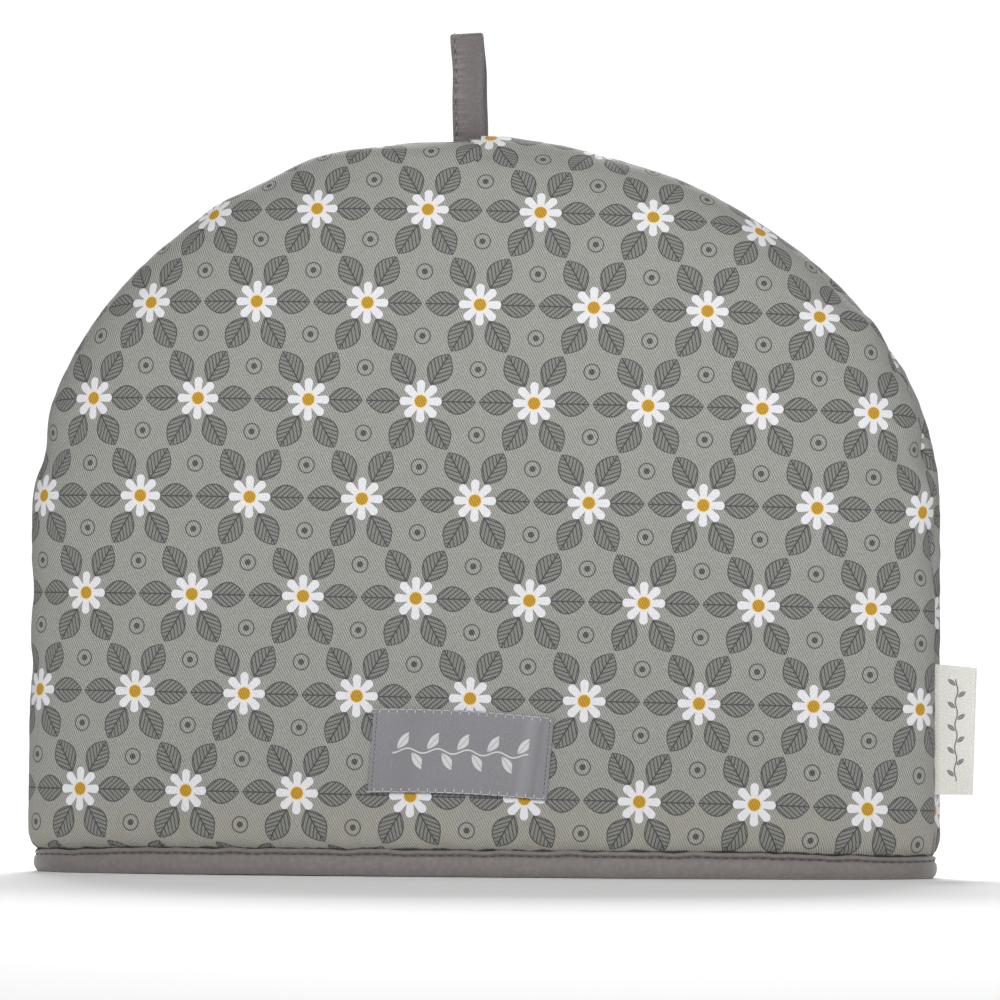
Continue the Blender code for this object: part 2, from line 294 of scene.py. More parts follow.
def ripple(u, v):
    """Soft uneven height over the cloth, from about -1 to 1."""
    total = 0
    for wavelength, direction, phase, share in SOFT_WAVES:
        turn = math.radians(direction)
        along = u * math.cos(turn) + v * math.sin(turn)
        total = total + share * np.sin(2 * np.pi * along / wavelength + phase)
    return total / 2.4


def pucker(along, seed):
    """Uneven puckers along a seam, from about -1 to 1."""
    total = 0
    for wavelength, phase, share in PUCKER_WAVES:
        drift = 0.9 * np.sin(2 * np.pi * along / (wavelength * 5.3) + phase * seed)
        total = total + share * np.sin(2 * np.pi * along / wavelength + phase + seed + drift)
    return total / 2.2


def seam_opening(s, side, z, latitude):
    """Half the gap between the panels at the seam: wider where a tape is caught between them."""
    x = side * s["half_width"] * np.cos(latitude)
    tag_away = np.abs(z - s["tag_z"]) - s["tag_length"] / 2 - 0.8
    loop_away = np.abs(x - s["loop_x"]) - s["loop_width"] / 2 - 1.5
    tag = TAG_OPENING * (side > 0) * (1 - smooth(tag_away / 4))
    loop = LOOP_OPENING * (1 - smooth(loop_away / 5))
    return SEAM_GAP + np.where(latitude == 0, tag, loop)


def hem_sag(points):
    """Moves points near the hem up where the cloth lifts, and down at the hem's ends."""
    x, y, z = points[..., 0], points[..., 1], points[..., 2]
    lift = 0
    for side, place, half_length, height in HEM_LIFTS:
        lift = lift + height * (np.sign(y) == side) * bell(x - place, half_length)
    lift = lift * (1 - smooth(z / 75)) * smooth(np.abs(y) / 22)
    ends = smooth((np.abs(x - DROOP_MIDDLE) - DROOP_START) / DROOP_LENGTH)
    ends = ends * smooth(z / 9) * (1 - smooth((z - 12) / 34))
    return np.stack([x, y, z + lift - DROOP * ends], -1)


def hem_middle(s, angle):
    """Points of the hem at mid-wall, seen from above, where angle 0 is the front middle."""
    half_width = s["half_width"] - HEM_INSET - s["hem_wall"] / 2
    half_depth = s["crown"] + s["nose_offset"] + s["flare"] - s["hem_pinch"] - s["hem_wall"] / 2
    y = half_depth * crown_share(np.abs(np.cos(angle)))
    return np.stack([half_width * np.sin(angle), -np.copysign(y, np.cos(angle))], -1)


def hem_oval(s, angle, out):
    """Points of the hem at a distance out from mid-wall."""
    tangent = hem_middle(s, angle + 0.02) - hem_middle(s, angle - 0.02)
    outward = unit(np.stack([tangent[..., 1], -tangent[..., 0]], -1))
    return hem_middle(s, angle) + outward * np.asarray(out)[..., None]


def dents(panel, side, along, depth):
    """How far the padded edge is pushed in, at a distance up the seam and a depth into the panel."""
    pushed = 0
    for which, where, place, deep, half_length in SEAM_DENTS:
        if which == panel:
            pushed = pushed + (side == where) * deep * bell(along - place, half_length)
    return pushed * bell(depth, DENT_REACH)


def creases(panel, x, z):
    """How deep the soft creases sink at a place on the panel."""
    sunk = 0
    for which, middle_x, middle_z, half_length, half_width, turn, depth in CREASES:
        if which == panel:
            c, n = math.cos(math.radians(turn)), math.sin(math.radians(turn))
            across = ((x - middle_x) * c + (z - middle_z) * n) / half_width
            along = ((z - middle_z) * c - (x - middle_x) * n) / half_length
            sunk = sunk + depth * np.exp(-across * across - along * along)
    return sunk


def leaned(s, x, height):
    """The height with the lean of the dome's top."""
    return height - x * s["dome_lean"] * smooth((height - s["side_height"]) / s["dome_rise"])


def cloth_lengths(s, x, z):
    """Width and height of the cloth from the panel's bottom middle to (x, z), over its crown."""
    rise = np.clip((z - s["side_height"]) / s["dome_rise"], 0, 1)
    full_x = s["half_width"] * np.sqrt(np.clip(1 - rise**2, 1e-9, 1))
    full_z = s["dome_rise"] * np.sqrt(np.clip(1 - (x / s["half_width"]) ** 2, 1e-9, 1))
    steps = np.linspace(0, 1, 60)

    def surface(px, pz):
        up = np.clip(pz - s["side_height"], 0, None) / s["dome_rise"]
        out = np.sqrt(np.clip((px / s["half_width"]) ** 2 + up**2, 0, 1))
        return s["crown"] * crown_height(out)

    turn = np.arcsin(np.clip(x / full_x, -1, 1))[..., None] * steps
    px = full_x[..., None] * np.sin(turn)
    across = np.hypot(np.diff(px), np.diff(surface(px, z[..., None]))).sum(-1)
    turn = np.arcsin(np.clip((z - s["side_height"]) / full_z, 0, 1))[..., None] * steps
    pz = s["side_height"] + full_z[..., None] * np.sin(turn)
    up = np.hypot(np.diff(pz), np.diff(surface(x[..., None], pz))).sum(-1)
    return np.sign(x) * across, np.minimum(z, s["side_height"]) + up


def even_turns(s, count):
    """Turns from the middle of a row to its edge, spaced evenly over the crown."""
    turn = np.linspace(0, math.pi / 2, 4000)
    section = np.stack([s["half_width"] * np.sin(turn), s["crown"] * crown_share(np.cos(turn))], 1)
    length = run_along(section)
    return np.interp(np.linspace(0, length[-1], count + 1), length, turn)


class PanelShape:
    """One padded panel as a grid of rows and columns: -1 is the front panel and 1 the back.

    A column is 0 in the middle, 1 at the padded edge and 2 at the seam, and negative on the left. A row
    has its height on the straight sides and, above them, its latitude on the dome."""

    def __init__(self, panel):
        s = sizes_mm()
        self.s, self.panel = s, panel
        crown = even_turns(s, HALF_COLUMNS)[1:] / (math.pi / 2)
        half = np.concatenate([crown, 1 + np.linspace(0, 1, NOSE_COLUMNS + 1)[1:]])
        low = HEM_EDGE + (s["side_height"] - HEM_EDGE) * np.linspace(0, 1, SIDE_ROWS) ** 1.25
        dome = np.linspace(0, math.pi / 2, DOME_ROWS + 1)[1:]
        self.column = np.concatenate([-half[::-1], [0], half])[None, :]
        self.z = np.concatenate([low, np.full(DOME_ROWS, s["side_height"])])[:, None]
        self.latitude = np.concatenate([np.zeros(SIDE_ROWS), dome])[:, None]

        self.side = np.where(self.column < 0, -1, 1)
        self.turn = np.minimum(1, np.abs(self.column)) * math.pi / 2
        self.into_nose = np.clip(np.abs(self.column) - 1, 0, 1)
        self.fullness = np.cos(self.turn) * np.cos(self.latitude)
        self.x = self.side * s["half_width"] * np.sin(self.turn) * np.cos(self.latitude)
        self.height = self.z + s["dome_rise"] * np.sin(self.latitude) + 0 * self.column
        self.flare = s["flare"] * (1 - smooth(self.z / 100))
        self.opening = seam_opening(s, self.side, self.z, self.latitude)

        outward_x = self.side * s["dome_rise"] * np.cos(self.latitude)
        outward_z = s["half_width"] * np.sin(self.latitude) + 0 * self.column
        self.outward = unit(np.stack([outward_x, outward_z], -1))
        u, v = cloth_lengths(s, self.x, self.height)
        nose = s["nose_offset"] * 1.12 * self.into_nose
        self.u, self.v = u + self.outward[..., 0] * nose, v + self.outward[..., 1] * nose

    def outer_face(self):
        """The printed face, with its rounded edge, dents, uneven padding, puckers and creases."""
        s, panel, fullness = self.s, self.panel, self.fullness
        on_nose = self.into_nose > 0
        in_nose = s["nose_offset"] + (self.opening - s["nose_offset"]) * self.into_nose
        crowned = s["nose_offset"] + (s["crown"] + self.flare) * crown_share(fullness)
        y = np.where(on_nose, in_nose, crowned)
        rounding = s["nose_radius"] - np.sqrt(s["nose_radius"] ** 2 - (s["nose_offset"] - in_nose) ** 2)
        dome_run = (s["half_width"] + s["dome_rise"]) / 2 * self.latitude
        along = np.where(self.latitude == 0, self.z, s["side_height"] + dome_run)
        depth = s["half_width"] * (1 - np.sqrt(1 - fullness**2))
        inside = np.where(on_nose, rounding, 0) + dents(panel, self.side, along, depth)

        # Uneven padding, and puckers beside the seams and above the binding.
        from_edge = 45 * fullness
        over_hem = self.height - 10.2
        fade = (1 - self.into_nose**2) * smooth((self.z - 10.2) / 5) * np.exp(-from_edge / 11)
        soft = s["softness"] * ripple(self.u + 31 * panel, self.v)
        soft = soft * smooth(from_edge / 30) * smooth((self.height - 12) / 30)
        radial = s["pucker"] * pucker(along, 1.7 + panel + self.side) * fade
        bottom = s["pucker"] * pucker(self.u + 13 * panel, 0.6 + panel)
        bottom = bottom * np.exp(-np.abs(self.height - 15) / 11) * smooth(over_hem / 3)
        lift = soft + radial + 2.3 * bottom
        y = y + lift * np.sqrt(np.clip(fullness, 0, 1)) * (self.into_nose == 0)
        inside = inside - (soft + 0.35 * radial) * np.exp(-from_edge / 8)

        x = self.x - self.outward[..., 0] * inside
        height = self.height - self.outward[..., 1] * inside
        y = y - creases(panel, x, height) * np.minimum(1, y / s["crown"])
        return self.bound(x, y, height, s["hem_wall"] / 2)

    def inner_face(self):
        """The plain inner face, one wall's thickness in."""
        s, turn = self.s, np.abs(self.column) / 2 * math.pi / 2
        x = self.side * (s["half_width"] - INNER_INSET) * np.sin(turn) * np.cos(self.latitude)
        height = self.z + (s["dome_rise"] - INNER_INSET) * np.sin(self.latitude) + 0 * self.column
        full = s["crown"] + s["nose_offset"] - s["wall"] + self.flare - self.opening
        share = crown_share(np.cos(turn) * np.cos(self.latitude))
        y = self.opening + (full - creases(self.panel, x, height)) * share
        return self.bound(x, y, height, -s["hem_wall"] / 2)

    def bound(self, x, y, height, out):
        """A face's points, drawn in by the binding to a distance out from mid-wall."""
        s, panel = self.s, self.panel
        shifted, off_seam = x + panel * s["skew"], panel * np.maximum(y, SEAM_GAP)
        free = np.stack([shifted, off_seam, leaned(s, x, height)], -1)
        oval = hem_oval(s, self.side * self.turn, np.full(self.turn.shape, out))
        held_y = panel * np.maximum(-oval[..., 1], SEAM_GAP)
        held = np.stack([oval[..., 0] + 0 * x, held_y + 0 * x, height], -1)
        share = pinch(self.height)[..., None]
        return hem_sag(free * (1 - share) + held * share)

    def print_steps(self):
        """Where each point lies in the print: repeats across and rows up."""
        tilt = math.radians(PRINT_TILT)
        across = (self.u * math.cos(tilt) - self.v * math.sin(tilt)) / PRINT_PITCH + PRINT_START[0]
        rows = (self.u * math.sin(tilt) + self.v * math.cos(tilt)) / PRINT_ROW + PRINT_START[1]
        if self.panel > 0:
            across, rows = BACK_SHIFT[0] - across, rows + BACK_SHIFT[1]
        return np.stack([across, rows], -1)


# ---------------------------------------------------------------------------------------------------
# Meshes.


def mesh_object(name, points, faces, uv, materials, kinds=None):
    """A smooth mesh object from points in millimetres about the seam middle, with its cloth map."""
    mesh = bpy.data.meshes.new(name)
    place = np.asarray(points) * MM + np.array(middle())
    mesh.from_pydata(place.tolist(), [], faces)
    layer = mesh.uv_layers.new(name="cloth")
    loops = np.empty(len(mesh.loops), dtype=np.int32)
    mesh.loops.foreach_get("vertex_index", loops)
    layer.data.foreach_set("uv", np.asarray(uv, dtype=np.float32)[loops].ravel())
    for look in materials:
        mesh.materials.append(look)
    if kinds is not None:
        mesh.polygons.foreach_set("material_index", np.asarray(kinds, dtype=np.int32))
    mesh.shade_smooth()
    made = bpy.data.objects.new(name, mesh)
    bpy.context.scene.collection.objects.link(made)
    return made


def clean(made, sharp=60):
    """Joins doubled points, turns the faces outwards and keeps real edges sharp."""
    bpy.ops.object.select_all(action="DESELECT")
    made.select_set(True)
    bpy.context.view_layer.objects.active = made
    bpy.ops.object.mode_set(mode="EDIT")
    bpy.ops.mesh.select_all(action="SELECT")
    bpy.ops.mesh.remove_doubles(threshold=0.00002)
    bpy.ops.mesh.normals_make_consistent(inside=False)
    bpy.ops.object.mode_set(mode="OBJECT")
    made.data.set_sharp_from_angle(angle=math.radians(sharp))
    return made


def grid_faces(rows, columns, start=0, wrap_rows=False, wrap_columns=False):
    """Quads over a grid of points numbered row by row."""
    found = []
    for r in range(rows if wrap_rows else rows - 1):
        for c in range(columns if wrap_columns else columns - 1):
            a, b = r * columns + c, r * columns + (c + 1) % columns
            d, e = (r + 1) % rows * columns + c, (r + 1) % rows * columns + (c + 1) % columns
            found.append((start + a, start + b, start + e, start + d))
    return found


def shell(name, outer, inner, uv, materials, open_top=False):
    """A closed solid between two equal grids; the outer grid takes the first material."""
    rows, columns = outer.shape[:2]
    count = rows * columns
    faces = grid_faces(rows, columns) + [f[::-1] for f in grid_faces(rows, columns, count)]
    kinds = [0] * (len(faces) // 2) + [len(materials) - 1] * (len(faces) // 2)
    rims = [range(0, count, columns), range(columns - 1, count, columns), range(columns)]
    if not open_top:
        rims.append(range(count - columns, count))
    for rim in rims:
        faces += [(a, b, b + count, a + count) for a, b in zip(rim, rim[1:])]
        kinds += [0] * (len(rim) - 1)
    points = np.concatenate([outer.reshape(-1, 3), inner.reshape(-1, 3)])

    # The inner grid's edge columns lie further out on the print, so that it runs on over the rims.
    turned_in = uv.copy()
    turned_in[:, 0] += 3 * (uv[:, 0] - uv[:, 2])
    turned_in[:, -1] += 3 * (uv[:, -1] - uv[:, -3])
    both = np.concatenate([uv.reshape(-1, 2), turned_in.reshape(-1, 2)])
    return mesh_object(name, points, faces, both, materials, kinds)


def stitches(name, places, along, outward, length, radius, look):
    """Thread stitches: one rounded primitive, laid at each place along a direction of the cloth."""
    bpy.ops.object.select_all(action="DESELECT")
    bpy.ops.mesh.primitive_uv_sphere_add(segments=8, ring_count=6, radius=1, location=(0, 0, 0))
    one = bpy.context.view_layer.objects.active
    ball = np.array([tuple(v.co) for v in one.data.vertices])

    # Sorted, because Blender gives the faces of a sphere in another order on each run.
    ball_faces = sorted(tuple(p.vertices) for p in one.data.polygons)
    bpy.data.objects.remove(one)
    ball[:, 2] = np.sign(ball[:, 2]) * np.abs(ball[:, 2]) ** 0.8
    ball = ball * (radius, radius * 0.8, length / 2)
    points, faces = [], []
    for place, direction, normal in zip(places, unit(np.asarray(along)), outward):
        across = unit(np.cross(direction, normal))
        lift = np.cross(across, direction)
        faces += [tuple(i + len(points) * len(ball) for i in f) for f in ball_faces]
        points.append(place + ball @ np.array([across, lift, direction]))
    points = np.concatenate(points)
    return mesh_object(name, points, faces, points[:, :2] * MM, [look])


# ---------------------------------------------------------------------------------------------------
# Materials.


class Term:
    """A value in a material's nodes that ordinary arithmetic extends."""

    def __init__(self, tree, socket):
        self.tree, self.socket = tree, socket

    def calc(self, operation, *values):
        node = self.tree.nodes.new("ShaderNodeMath")
        node.operation = operation
        for slot, value in zip(node.inputs, values):
            if isinstance(value, Term):
                self.tree.links.new(value.socket, slot)
            else:
                slot.default_value = value
        return Term(self.tree, node.outputs[0])

    def __add__(self, other):
        return self.calc("ADD", self, other)

    def __sub__(self, other):
        return self.calc("SUBTRACT", self, other)

    def __rsub__(self, other):
        return self.calc("SUBTRACT", other, self)

    def __mul__(self, other):
        return self.calc("MULTIPLY", self, other)

    def __truediv__(self, other):
        return self.calc("DIVIDE", self, other)

    def of(self, operation, *others):
        return self.calc(operation, self, *others)

    def ramp(self, start, end):
        """0 at start and 1 at end, eased between them."""
        node = self.tree.nodes.new("ShaderNodeMapRange")
        node.interpolation_type = "SMOOTHSTEP"
        self.tree.links.new(self.socket, node.inputs["Value"])
        flip = start > end
        node.inputs["From Min"].default_value = end if flip else start
        node.inputs["From Max"].default_value = start if flip else end
        node.inputs["To Min"].default_value = 1 if flip else 0
        node.inputs["To Max"].default_value = 0 if flip else 1
        return Term(self.tree, node.outputs["Result"])


class Cloth:
    """A fabric material under way: its coordinates, its colour so far and its bump."""

    def __init__(self, name, base, roughness, sheen, coordinates="cloth"):
        self.made = bpy.data.materials.new(name)
        self.made.use_nodes = True
        self.tree = self.made.node_tree
        self.shader = self.tree.nodes["Principled BSDF"]
        self.shader.inputs["Roughness"].default_value = roughness
        self.shader.inputs["Specular IOR Level"].default_value = 0.25
        self.shader.inputs["Sheen Weight"].default_value = sheen
        self.shader.inputs["Sheen Roughness"].default_value = 0.5
        self.shader.inputs["Base Color"].default_value = (*base, 1)
        if coordinates == "cloth":
            source = self.tree.nodes.new("ShaderNodeUVMap")
            source.uv_map = "cloth"
            self.place = source.outputs["UV"]
        else:
            self.place = self.object_place()
        self.u, self.v = self.parts(self.place)[:2]
        self.colour = base

    def object_place(self):
        return self.tree.nodes.new("ShaderNodeTexCoord").outputs["Object"]

    def parts(self, place):
        """The three parts of a place."""
        split = self.tree.nodes.new("ShaderNodeSeparateXYZ")
        self.tree.links.new(place, split.inputs[0])
        return [Term(self.tree, part) for part in split.outputs]

    def noise(self, scale, detail, stretch=None):
        node = self.tree.nodes.new("ShaderNodeTexNoise")
        node.inputs["Scale"].default_value = scale
        node.inputs["Detail"].default_value = detail
        place = self.place
        if stretch:
            mapping = self.tree.nodes.new("ShaderNodeMapping")
            mapping.inputs["Scale"].default_value = (*stretch, 1)
            self.tree.links.new(place, mapping.inputs["Vector"])
            place = mapping.outputs["Vector"]
        self.tree.links.new(place, node.inputs["Vector"])
        return Term(self.tree, node.outputs["Fac"])

    def over(self, share, top):
        """Lays a colour over what is there, where share is 1."""
        node = self.tree.nodes.new("ShaderNodeMix")
        node.data_type = "RGBA"
        self.tree.links.new(share.socket, node.inputs[0])
        for slot, value in ((node.inputs[6], self.colour), (node.inputs[7], top)):
            if isinstance(value, bpy.types.NodeSocket):
                self.tree.links.new(value, slot)
            else:
                slot.default_value = (*value, 1)
        self.colour = node.outputs[2]
        self.tree.links.new(self.colour, self.shader.inputs["Base Color"])

    def bump(self, height, depth, strength):
        node = self.tree.nodes.new("ShaderNodeBump")
        node.inputs["Distance"].default_value = depth
        node.inputs["Strength"].default_value = strength
        self.tree.links.new(height.socket, node.inputs["Height"])
        self.tree.links.new(node.outputs["Normal"], self.shader.inputs["Normal"])


def shade(base, factor):
    """A colour made lighter or darker."""
    return tuple(min(1.0, c * factor) for c in base)


def tinted(base, tint):
    """A colour with each of its parts changed by its own factor."""
    return tuple(c * factor for c, factor in zip(base, tint))


def twill(across, up, degrees, pitch):
    """Diagonal rib of a twill, from 0 in its grooves to 1 on its ribs."""
    turn = math.radians(degrees)
    phase = (across * math.cos(turn) + up * math.sin(turn)) * (2 * math.pi / pitch)
    return phase.of("SINE") * 0.5 + 0.5


def from_point(a, b):
    """Distance from the point where a and b are both 0."""
    return (a * a + b * b).of("SQRT")


def nearest_flower(across, up):
    """Distance and angle from the nearest flower, where every flower has six neighbours."""
    tall = PRINT_ROW * 2
    p1 = across - (across / PRINT_PITCH).of("ROUND") * PRINT_PITCH
    q1 = up - (up / tall).of("ROUND") * tall
    p2 = across - ((across / PRINT_PITCH).of("FLOOR") + 0.5) * PRINT_PITCH
    q2 = up - ((up / tall).of("FLOOR") + 0.5) * tall
    second = (p2 * p2 + q2 * q2).of("LESS_THAN", p1 * p1 + q1 * q1)
    p = p1 + (p2 - p1) * second
    q = q1 + (q2 - q1) * second
    return from_point(p, q), q.of("ARCTAN2", p)


def spokes(reach, angle, turn):
    """Distances along and beside the nearest spoke: the first at half a turn, then one each turn."""
    turned = angle.of("WRAP", turn, 0.0) - turn / 2
    return reach * turned.of("COSINE"), reach * turned.of("SINE")


class PrintedTwill(Cloth):
    """Twill printed with an even repeat of white daisies, veined leaves and small buds."""

    def __init__(self):
        self.colours, self.ground = colours(), tuple(colours().ground)
        super().__init__("printed_twill", self.ground, 0.88, 0.05)
        across = self.u * PRINT_PITCH + PRINT_PITCH / 2
        up = self.v * PRINT_ROW
        self.reach, self.angle = nearest_flower(across, up)
        self.rib = twill(across, up, 26.3, 0.852)
        self.slub, self.fibre = self.noise(7, 2), self.noise(105, 1)

        # Print takes less well on the ribs than in the grooves.
        self.ink = 1 - self.rib * 0.3

        # Height over the floor in millimetres, a little uneven, and without the droop of the hem's ends.
        x, _, z = self.parts(self.object_place())
        from_middle = x * 1000 - middle().x * 1000 - DROOP_MIDDLE
        ends = from_middle.of("ABSOLUTE").ramp(DROOP_START, DROOP_START + DROOP_LENGTH)
        self.height = z * 1000 + ends * DROOP + (self.slub - 0.5) * 2.2

    def weave(self):
        """The ground: steep twill ribs, uneven in strength, slightly cloudy, and warmer over the hem."""
        ground, rib, fibre, slub = self.ground, self.rib, self.fibre, self.slub
        grain = self.noise(34, 3)
        self.over(rib * (grain.ramp(0.25, 0.75) * 0.5 + 0.5) * 0.85, shade(ground, 1.57))
        self.over((1 - rib).ramp(0.5, 1.0) * (fibre.ramp(0.3, 0.6) * 0.6 + 0.4), shade(ground, 0.38))
        self.over(fibre.ramp(0.5, 0.72) * 0.6, shade(ground, 1.6))
        self.over(fibre.ramp(0.48, 0.3) * 0.35, shade(ground, 0.6))
        self.over(slub.ramp(0.35, 0.7) * 0.16, shade(tinted(ground, (1.04, 1, 0.95)), 0.8))
        warm = slub.ramp(0.25, 0.6) * self.height.ramp(38, 16) * 0.36
        self.over(warm, shade(tinted(ground, (1.13, 1.03, 0.84)), 1.05))

    def leaves(self):
        """Six pointed leaves round a flower, towards its neighbours, with a midrib and side veins."""
        start, length, fullness, vein_pitch = 7.0, 13.4, 18, 2.1
        sixth = math.radians(60)
        along, aside = spokes(self.reach, self.angle + sixth / 2, sixth)
        aside = aside.of("ABSOLUTE")
        share = (along - start) / length
        edge = aside - share * (1 - share) * fullness
        leaf = edge.ramp(0.1, -0.1)
        side_vein = ((along - aside * 1.15) / vein_pitch).of("FRACT") - 0.5
        veins = side_vein.of("ABSOLUTE").ramp(0.2, 0.1).of("MAXIMUM", aside.ramp(0.36, 0.2))
        outline = edge.of("ABSOLUTE").ramp(0.34, 0.16) * (share * (1 - share)).ramp(-0.01, 0.03)
        self.over(leaf * 0.8, shade(self.ground, 0.62))
        self.over(leaf * self.rib * 0.35, self.ground)
        self.over((leaf * veins).of("MAXIMUM", outline) * self.ink * 0.95, self.colours.line)

    def buds(self):
        """A small ringed bud where three cells of the repeat meet."""
        ring_radius = 2.9
        along, aside = spokes(self.reach, self.angle, math.radians(60))
        from_bud = from_point(along - PRINT_PITCH / math.sqrt(3), aside)
        self.over(from_bud.ramp(1.25, 1.05) * self.ink, self.colours.line)
        ring = (from_bud - ring_radius).of("ABSOLUTE").ramp(0.36, 0.18)
        self.over(ring * self.ink * 0.9, self.colours.line)

    def daisies(self):
        """Eight equal round-ended petals, a pale ring and an ochre eye."""
        start, length, half_width, widening = 2.1, 4.2, 1.1, 0.42
        eighth = math.radians(45)
        out, beside = spokes(self.reach, self.angle + eighth / 2, eighth)
        share = ((out - start) / length).of("MAXIMUM", 0.0).of("MINIMUM", 1.0)
        from_spine = from_point(out - (share * length + start), beside)
        petals = (from_spine - (share * widening + half_width)).ramp(0.12, -0.04)
        self.over(petals, self.colours.petal)
        self.over(petals * (1 - self.rib) * 0.2, shade(self.colours.petal, 0.75))
        self.over(self.reach.ramp(2.9, 2.4), shade((1.0, 0.78, 0.44), 0.66))
        eye = self.reach.ramp(2.35, 2.1)
        self.over(eye, self.colours.eye)
        self.over(eye * self.rib * 0.6, shade(self.colours.eye, 1.5))
        self.over(eye * (1 - self.rib) * 0.5, shade(self.colours.eye, 0.55))

    def hem_shade_and_relief(self):
        """Painted shade where the cloth goes down into the binding, and the relief of the weave."""
        # A dark band painted just above the binding stands in for the shade in the tuck of the cloth.
        self.over(self.height.ramp(10.7, 10.0) * 0.9, shade(self.ground, 0.1))
        self.bump(self.rib + self.fibre * 0.6 + self.slub * 0.6, 0.00012, 0.55)


def print_material():
    cloth = PrintedTwill()
    for step in (cloth.weave, cloth.leaves, cloth.buds, cloth.daisies, cloth.hem_shade_and_relief):
        step()
    return cloth.made


def plain_material(name, base, degrees, pitch, depth, roughness, sheen, contrast=0.25, place="cloth"):
    """Plain woven cloth: a fine rib, a little uneven."""
    base = tuple(base)
    cloth = Cloth(name, base, roughness, sheen, place)
    rib = twill(cloth.u * 1000, cloth.v * 1000, degrees, pitch)
    grain = cloth.noise(420, 3)
    wash = cloth.noise(38, 2)
    cloth.over((1 - rib) * contrast, shade(base, 0.55))
    cloth.over(grain.ramp(0.4, 0.8) * contrast, shade(base, 1.35))
    cloth.over(wash.ramp(0.35, 0.75) * 0.22, shade(base, 0.82))
    cloth.bump(rib + grain * 0.6, depth, 0.5)
    return cloth.made


def sprig_material(name, base, ink, length, height, roughness, sheen, weave, fold_shading=()):
    """Woven cloth with a small generic sprig along its middle, in cloth coordinates from its centre.

    Each fold across it is a place along, a half width and the factor of painted highlight or painted shade
    laid along it."""
    base = tuple(base)
    cloth = Cloth(name, base, roughness, sheen)
    across, up = cloth.u * 1000, cloth.v * 1000
    threads = twill(across, up, 90, weave)
    crossing = twill(across, up, 0, weave * 1.6)
    grain = cloth.noise(2200, 1, (0.7, 1.0))
    wash = cloth.noise(60, 2, (0.6, 1.0))
    cloth.over((1 - threads) * 0.45 * (crossing * 0.6 + 0.4), shade(base, 0.6))
    cloth.over(grain.ramp(0.45, 0.7) * 0.5, shade(base, 1.4))
    cloth.over(wash.ramp(0.35, 0.7) * 0.3, shade(base, 1.15))

    # Painted highlight and painted shade along the folds.
    for place, half_width, look in fold_shading:
        off = (across - up * 0.06 - place).of("ABSOLUTE").ramp(half_width, 0)
        cloth.over(off * 0.6, shade(base, look))

    # A waving stem, with one small leaf to each step of it, above and below in turn.
    step = length / 9
    wave = (across * (math.pi / step)).of("SINE")
    within = across.of("ABSOLUTE").ramp(length * 0.5 + 0.2, length * 0.5 - 0.2)
    stem = (up - wave * (height * 0.045)).of("ABSOLUTE").ramp(0.34, 0.2)
    cell = (across / step + 0.5).of("FLOOR")
    side = (cell / 2).of("FRACT").of("GREATER_THAN", 0.25) * -2 + 1
    local, above = across - cell * step - step * 0.22, up * side - height * 0.2
    lean = math.radians(52)
    outward = (local * math.cos(lean) + above * math.sin(lean)) / (height * 0.21)
    beside = (above * math.cos(lean) - local * math.sin(lean)).of("ABSOLUTE") / (height * 0.085)
    leaf = (beside + outward * outward).ramp(1.1, 0.9) * (beside.ramp(0.04, 0.12) * 0.7 + 0.3)
    sprig = stem.of("MAXIMUM", leaf) * within
    cloth.over(sprig * (threads * 0.25 + 0.7), ink)
    cloth.bump(threads + grain * 0.5 + sprig * 0.8, 0.0001, 0.6)
    return cloth.made


def tape_material(name, base, axis, place):
    """The grey tape, drawn in along its stitch line at that place on an axis of the cloth, with painted
    shade along that line and painted highlights on the wrinkles it draws in.
    """
    cloth = Cloth(name, base, 0.62, 0.35)
    across, up = cloth.u * 1000, cloth.v * 1000
    rib = twill(across, up, 28, 0.62)
    grain = cloth.noise(520, 3)
    blotch = cloth.noise(170, 3)
    wash = cloth.noise(45, 2)
    if axis == "v":
        off_seam, stretch, painted_shade, pale, relief = up - place, (900, 110), 0.5, 0.1, 0.3
    else:
        off_seam, stretch, painted_shade, pale, relief = across - place, (110, 900), 0.7, 0.55, 2.0
    off_seam = off_seam.of("ABSOLUTE")
    cloth.over((1 - rib) * 0.3, shade(base, 0.6))
    cloth.over(grain.ramp(0.4, 0.75) * 0.4, shade(base, 1.5))
    cloth.over(blotch.ramp(0.35, 0.7) * 0.25, shade(base, 1.25))
    cloth.over(wash.ramp(0.35, 0.75) * 0.25, shade(base, 0.8))
    # Painted shade along the stitch line, and painted highlights on the wrinkles that it draws in.
    cloth.over(off_seam.ramp(0.8, 0.2) * painted_shade, shade(base, 0.4))
    drawn = cloth.noise(1, 1, stretch)
    pull = off_seam.ramp(6.5, 0.5)
    cloth.over(drawn.ramp(0.42, 0.62) * pull * pale, shade(base, 1.6))
    cloth.bump(rib * 0.5 + grain * 0.6 + drawn * pull * relief + blotch * 0.6, 0.00008, 0.6)
    return cloth.made


# ---------------------------------------------------------------------------------------------------
# Operators, one for each piece or group.


def colours():
    return bpy.context.scene.cosy_colours


def thread(name, base, contrast=0.2):
    """The scene's thread of that name, made on first use."""
    made = bpy.data.materials.get(name)
    return made or plain_material(name, base, 30, 0.3, 0.00004, 0.6, 0.2, contrast, "object")


def dark_thread():
    return thread("dark_thread", colours().dark_thread, 0.3)


def settle(made, slot, *nodes):
    """Ties a finished piece to the frame."""
    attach(made, "root")
    if nodes:
        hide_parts(*nodes)


class COSY_OT_panels(bpy.types.Operator):
    """Makes the two padded, printed panels."""

    bl_idname = "cosy.panels"
    bl_label = "Panels"

    def execute(self, context):
        printed = print_material()
        lining = plain_material("inner_cloth", colours().inside, 90, 0.6, 0.00005, 0.9, 0.1)
        for name, panel in (("front_panel", -1), ("back_panel", 1)):
            shape = PanelShape(panel)
            grids = shape.outer_face(), shape.inner_face(), shape.print_steps()
            made = shell("cosy_" + name, *grids, [printed, lining], open_top=True)
            clean(made)
            settle(made, "printed_twill", name)
        return {"FINISHED"}


